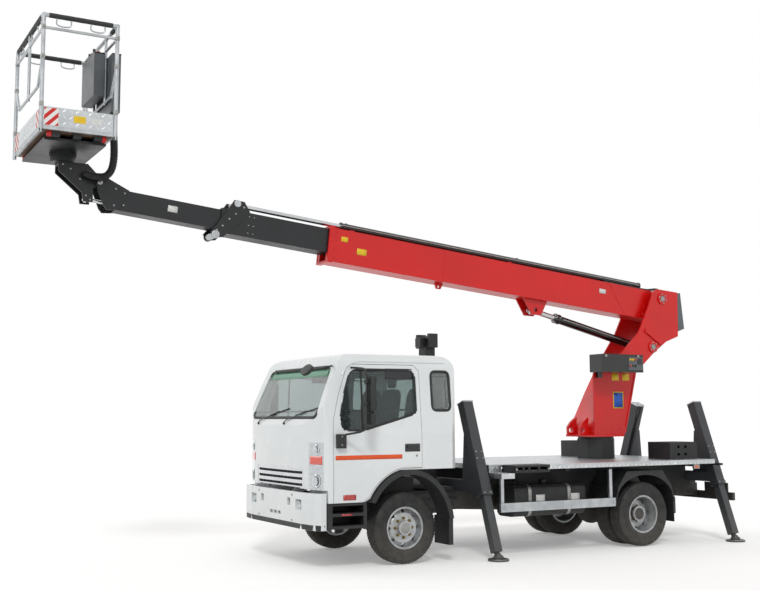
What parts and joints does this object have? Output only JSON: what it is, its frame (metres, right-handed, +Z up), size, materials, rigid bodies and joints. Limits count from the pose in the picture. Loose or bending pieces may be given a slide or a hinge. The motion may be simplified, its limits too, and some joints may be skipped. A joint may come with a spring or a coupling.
{
  "type": "cherry picker truck",
  "caption": "Light cab-over truck with a slewing turret, a luffing telescopic boom, a levelled and turning work basket, splayed outrigger legs, tilting cab, steering and doors.",
  "frame": {"origin": "centre of the whole truck's box in plan, at ground level", "axes": "+X forwards, +Y to the truck's left, +Z up"},
  "size_m": [8.8904, 2.72, 5.6237],
  "materials": {
    "chassis_black": "satin",
    "outrigger_grey": "satin",
    "cab_white": "gloss",
    "cab_glass": "gloss",
    "chrome": "polished",
    "lamp_lens": "gloss",
    "black_plastic": "textured",
    "seat_fabric": "woven",
    "tyre_rubber": "moulded",
    "rim_silver": "satin",
    "axle_iron": "rough",
    "deck_aluminium": "chequer plate",
    "boom_red": "gloss",
    "cover_grey": "satin",
    "cylinder_black": "gloss",
    "rod_chrome": "polished",
    "boom_black": "satin",
    "basket_aluminium": "satin",
    "console_plastic": "satin"
  },
  "bodies": {
    "chassis": {"frame": "chassis_black", "subframe": "chassis_black", "front_axle": "axle_iron", "rear_axle": "axle_iron", "engine": "axle_iron", "front_bumper": "cab_white", "tanks": "black_plastic", "spare_wheel": "tyre_rubber", "deck": "deck_aluminium", "deck_fittings": "chassis_black", "side_guards": "deck_aluminium", "rear_fenders": "black_plastic", "rear_bumper": "chassis_black", "boom_rest": "chassis_black", "outrigger_housings": "outrigger_grey", "pedestal": "chassis_black"},
    "cab": {"cab_shell": "cab_white", "front_panel": "cab_white", "cab_glass": "cab_glass", "grille": "chrome", "headlights": "lamp_lens", "dashboard": "black_plastic", "seats": "seat_fabric", "cab_trim": "black_plastic"},
    "left_door": {"left_door": "cab_white", "left_door_glass": "cab_glass", "left_mirror": "black_plastic"},
    "right_door": {"right_door": "cab_white", "right_door_glass": "cab_glass", "right_mirror": "black_plastic"},
    "left_knuckle": {"left_knuckle": "axle_iron"},
    "right_knuckle": {"right_knuckle": "axle_iron"},
    "front_left_wheel": {"front_left_rim": "rim_silver", "front_left_tyre": "tyre_rubber"},
    "front_right_wheel": {"front_right_rim": "rim_silver", "front_right_tyre": "tyre_rubber"},
    "rear_left_wheels": {"rear_left_rims": "rim_silver", "rear_left_tyres": "tyre_rubber"},
    "rear_right_wheels": {"rear_right_rims": "rim_silver", "rear_right_tyres": "tyre_rubber"},
    "front_left_leg": {"front_left_leg": "outrigger_grey"},
    "front_right_leg": {"front_right_leg": "outrigger_grey"},
    "rear_left_leg": {"rear_left_leg": "outrigger_grey"},
    "rear_right_leg": {"rear_right_leg": "outrigger_grey"},
    "turret": {"turret": "boom_red", "turret_cover": "cover_grey", "control_box": "console_plastic"},
    "luff_barrel": {"luff_barrel": "cylinder_black"},
    "luff_rod": {"luff_rod": "rod_chrome"},
    "boom_base": {"boom_base": "boom_red", "extension_barrel": "cylinder_black"},
    "boom_mid": {"boom_mid": "boom_black", "extension_rod": "rod_chrome"},
    "boom_tip": {"boom_tip": "boom_black"},
    "level_rod": {"level_rod": "rod_chrome"},
    "basket_link": {"basket_link": "boom_black"},
    "basket": {"basket": "basket_aluminium", "basket_frame": "boom_black", "basket_console": "console_plastic", "basket_hose": "black_plastic"}
  },
  "joints": [
    {"name": "cab_tilt", "type": "hinge", "parent": "chassis", "child": "cab", "pos_m": [1.55581, 0, 0.762], "axis": [0, 1, 0], "range_deg": [0, 45]},
    {"name": "left_door_swing", "type": "hinge", "parent": "cab", "child": "left_door", "pos_m": [1.37582, 1.022, 1.4], "axis": [0, 0, -1], "range_deg": [0, 65]},
    {"name": "right_door_swing", "type": "hinge", "parent": "cab", "child": "right_door", "pos_m": [1.37582, -1.022, 1.4], "axis": [0, 0, 1], "range_deg": [0, 65]},
    {"name": "left_steer", "type": "hinge", "parent": "chassis", "child": "left_knuckle", "pos_m": [0.45981, 0.735, 0.392], "axis": [0, 0, 1], "range_deg": [-36, 36]},
    {"name": "right_steer", "type": "hinge", "parent": "chassis", "child": "right_knuckle", "pos_m": [0.45981, -0.735, 0.392], "axis": [0, 0, 1], "range_deg": [-36, 36]},
    {"name": "front_left_spin", "type": "hinge", "parent": "left_knuckle", "child": "front_left_wheel", "pos_m": [0.45981, 0.832, 0.392], "axis": [0, 1, 0], "continuous": true},
    {"name": "front_right_spin", "type": "hinge", "parent": "right_knuckle", "child": "front_right_wheel", "pos_m": [0.45981, -0.832, 0.392], "axis": [0, 1, 0], "continuous": true},
    {"name": "rear_left_spin", "type": "hinge", "parent": "chassis", "child": "rear_left_wheels", "pos_m": [-2.90518, 0.78, 0.392], "axis": [0, 1, 0], "continuous": true},
    {"name": "rear_right_spin", "type": "hinge", "parent": "chassis", "child": "rear_right_wheels", "pos_m": [-2.90518, -0.78, 0.392], "axis": [0, 1, 0], "continuous": true},
    {"name": "front_left_leg_slide", "type": "slide", "parent": "chassis", "child": "front_left_leg", "axis": [0, -0.3404, 0.9403], "range_m": [0, 0.55]},
    {"name": "front_right_leg_slide", "type": "slide", "parent": "chassis", "child": "front_right_leg", "axis": [0, 0.3404, 0.9403], "range_m": [0, 0.55]},
    {"name": "rear_left_leg_slide", "type": "slide", "parent": "chassis", "child": "rear_left_leg", "axis": [0, -0.3404, 0.9403], "range_m": [0, 0.55]},
    {"name": "rear_right_leg_slide", "type": "slide", "parent": "chassis", "child": "rear_right_leg", "axis": [0, 0.3404, 0.9403], "range_m": [0, 0.55]},
    {"name": "slew", "type": "hinge", "parent": "chassis", "child": "turret", "pos_m": [-3.02019, 0, 1.33], "axis": [0, 0, 1], "range_deg": [-200, 200]},
    {"name": "luff", "type": "hinge", "parent": "turret", "child": "boom_base", "pos_m": [-4.04019, 0, 3.2], "axis": [0, -1, 0], "range_deg": [-10, 64]},
    {"name": "luff_barrel_pivot", "type": "hinge", "parent": "turret", "child": "luff_barrel", "pos_m": [-3.84619, 0, 2.531], "axis": [0, -1, 0], "range_deg": [-9, 57.2]},
    {"name": "luff_rod_slide", "type": "slide", "parent": "luff_barrel", "child": "luff_rod", "axis": [0.9722, 0, 0.2343], "range_m": [-0.109, 0.693]},
    {"name": "boom_extend", "type": "slide", "parent": "boom_base", "child": "boom_mid", "axis": [0.9949, 0, 0.1011], "range_m": [-0.95, 2.9]},
    {"name": "tip_extend", "type": "slide", "parent": "boom_mid", "child": "boom_tip", "axis": [0.9949, 0, 0.1011], "range_m": [-0.95, 2.9]},
    {"name": "level_rod_slide", "type": "slide", "parent": "boom_tip", "child": "level_rod", "axis": [0.9949, 0, 0.1011], "range_m": [-0.216, 0.035]},
    {"name": "basket_level", "type": "hinge", "parent": "boom_tip", "child": "basket_link", "pos_m": [3.69019, 0, 4.08272], "axis": [0, -1, 0], "range_deg": [-64, 10]},
    {"name": "basket_rotate", "type": "hinge", "parent": "basket_link", "child": "basket", "pos_m": [4.05419, 0, 4.33272], "axis": [0, 0, 1], "range_deg": [-90, 90], "deforming": ["basket_hose"]}
  ],
  "couplings": [
    {"joint": "right_steer", "follows": "left_steer", "ratio": 1},
    {"joint": "luff_barrel_pivot", "follows": "luff", "ratio": 0.8917},
    {"joint": "luff_rod_slide", "follows": "luff", "m_per_rad": 0.6195},
    {"joint": "tip_extend", "follows": "boom_extend", "ratio": 1},
    {"joint": "level_rod_slide", "follows": "luff", "m_per_rad": -0.1925},
    {"joint": "basket_level", "follows": "luff", "ratio": -1}
  ]
}
